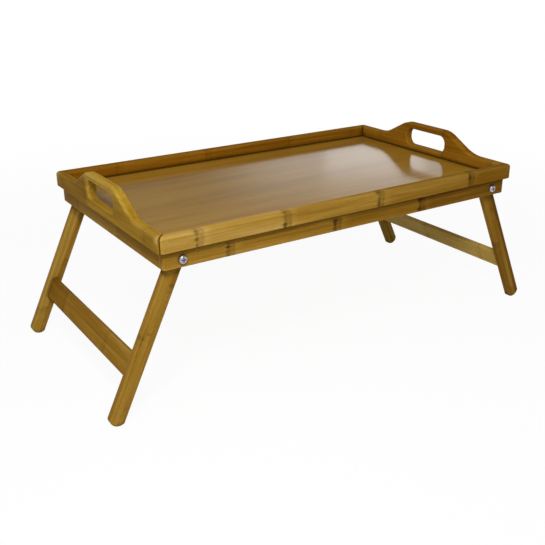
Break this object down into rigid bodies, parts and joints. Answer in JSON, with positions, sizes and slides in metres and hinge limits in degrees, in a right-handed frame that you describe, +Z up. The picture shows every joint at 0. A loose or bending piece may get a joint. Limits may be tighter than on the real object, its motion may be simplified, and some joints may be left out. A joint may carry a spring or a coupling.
{
  "type": "bed tray table",
  "caption": "Low bamboo bed tray with a shallow rim, a raised handle with a hand slot on each short end, and splayed leg frames that fold flat under the tray.",
  "frame": {"origin": "on the floor, under the middle of the tray, with the legs open", "axes": "+X along the tray's length, +Y from the front rail to the rear rail, +Z up"},
  "size_m": [0.6198, 0.3, 0.2275],
  "materials": {
    "rim_bamboo": "carbonised bamboo, satin lacquer",
    "apron_bamboo": "carbonised bamboo, satin lacquer",
    "leg_bamboo": "carbonised bamboo, satin lacquer",
    "panel_bamboo": "carbonised bamboo, gloss lacquer",
    "hidden_wood": "bare wood",
    "steel": "zinc plated"
  },
  "bodies": {
    "tray": {"front_rail": "rim_bamboo", "rear_rail": "rim_bamboo", "left_end_board": "rim_bamboo", "right_end_board": "rim_bamboo", "corner_tongues": "hidden_wood", "tray_panel": "panel_bamboo", "front_apron": "apron_bamboo", "rear_apron": "apron_bamboo", "left_apron": "apron_bamboo", "right_apron": "apron_bamboo", "apron_screws": "steel", "pivot_bolts": "steel", "spacer_washers": "steel", "nut_washers": "steel", "pivot_nuts": "steel"},
    "left_leg_frame": {"front_left_leg": "leg_bamboo", "rear_left_leg": "leg_bamboo", "left_stretcher": "leg_bamboo", "left_stretcher_dowels": "hidden_wood"},
    "right_leg_frame": {"front_right_leg": "leg_bamboo", "rear_right_leg": "leg_bamboo", "right_stretcher": "leg_bamboo", "right_stretcher_dowels": "hidden_wood"}
  },
  "joints": [
    {"name": "left_leg_fold", "type": "hinge", "parent": "tray", "child": "left_leg_frame", "pos_m": [-0.22224, 0, 0.17454], "axis": [0, -1, 0], "range_deg": [0, 115.3]},
    {"name": "right_leg_fold", "type": "hinge", "parent": "tray", "child": "right_leg_frame", "pos_m": [0.22224, 0, 0.17454], "axis": [0, 1, 0], "range_deg": [0, 115.3]}
  ]
}
